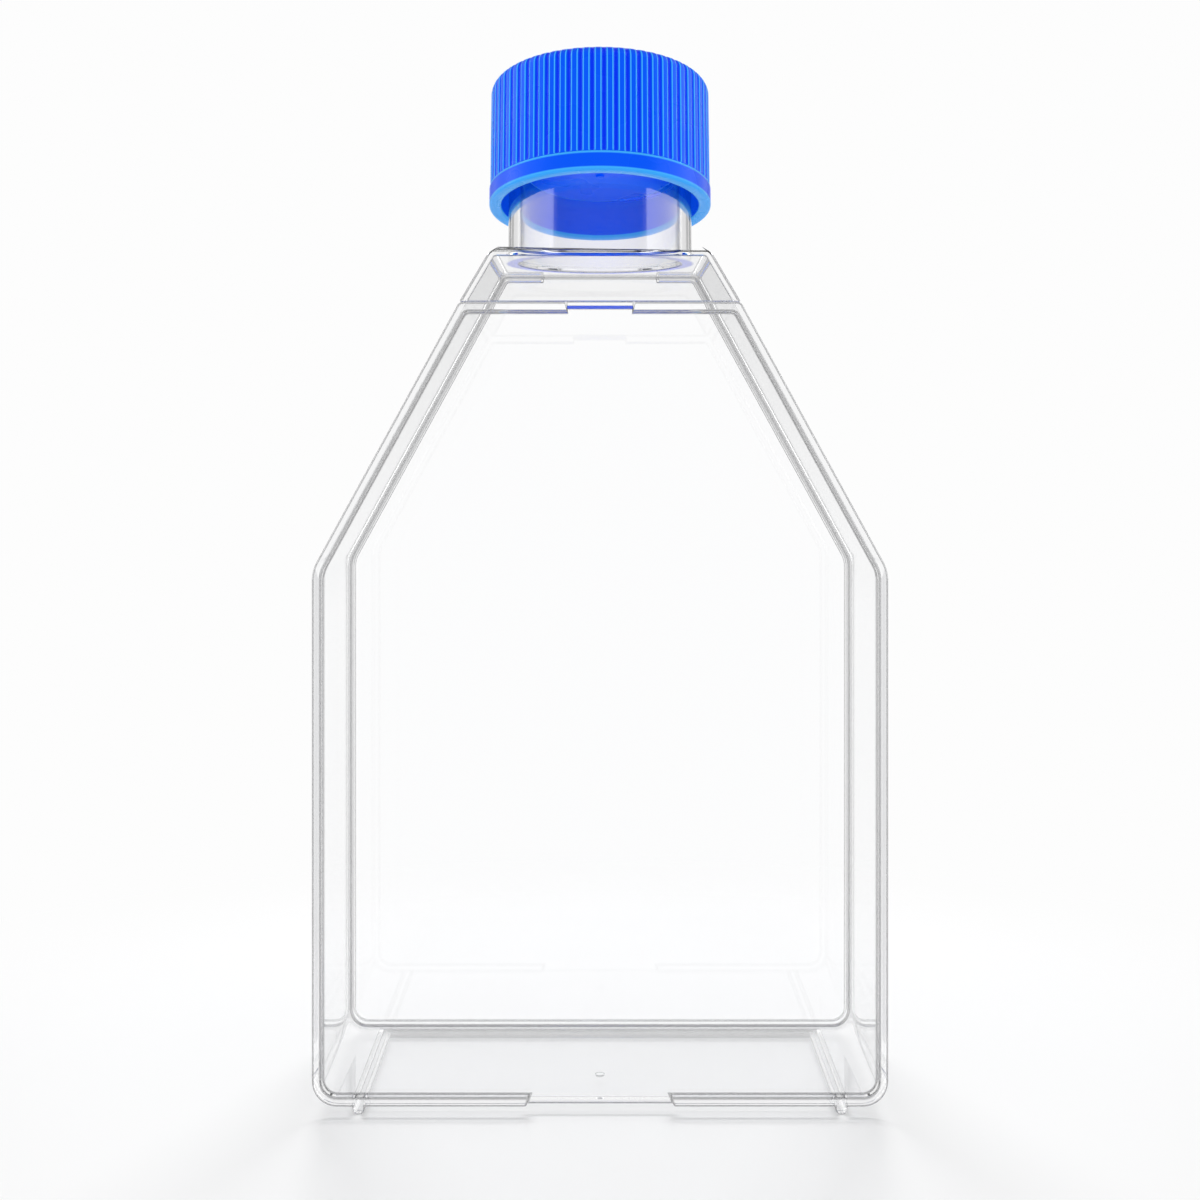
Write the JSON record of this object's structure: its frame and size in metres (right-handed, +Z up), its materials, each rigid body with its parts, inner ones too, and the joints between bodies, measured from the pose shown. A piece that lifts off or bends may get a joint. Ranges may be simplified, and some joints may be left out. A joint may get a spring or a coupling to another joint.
{
  "type": "cell culture flask",
  "caption": "Clear rectangular culture flask with a flat growth plate, sloping shoulders, a canted neck and a ribbed screw cap; it stands on its base runners.",
  "frame": {"origin": "on the ground, in the middle of the box of the flask standing on its base", "axes": "+Z up, +X across the flask, -Y out of the growth plate, so the neck leans towards +Y"},
  "size_m": [0.08, 0.038, 0.1496],
  "materials": {
    "clear_plastic": "clear polished polystyrene",
    "blue_plastic": "satin blue polyethylene"
  },
  "bodies": {
    "flask": {"flask_body": "clear_plastic", "growth_plate": "clear_plastic"},
    "cap": {"screw_cap": "blue_plastic"}
  },
  "joints": [
    {"name": "cap_lift", "type": "slide", "parent": "flask", "child": "cap", "axis": [0, 0.2028, 0.9792], "range_m": [0, 0.03]}
  ]
}
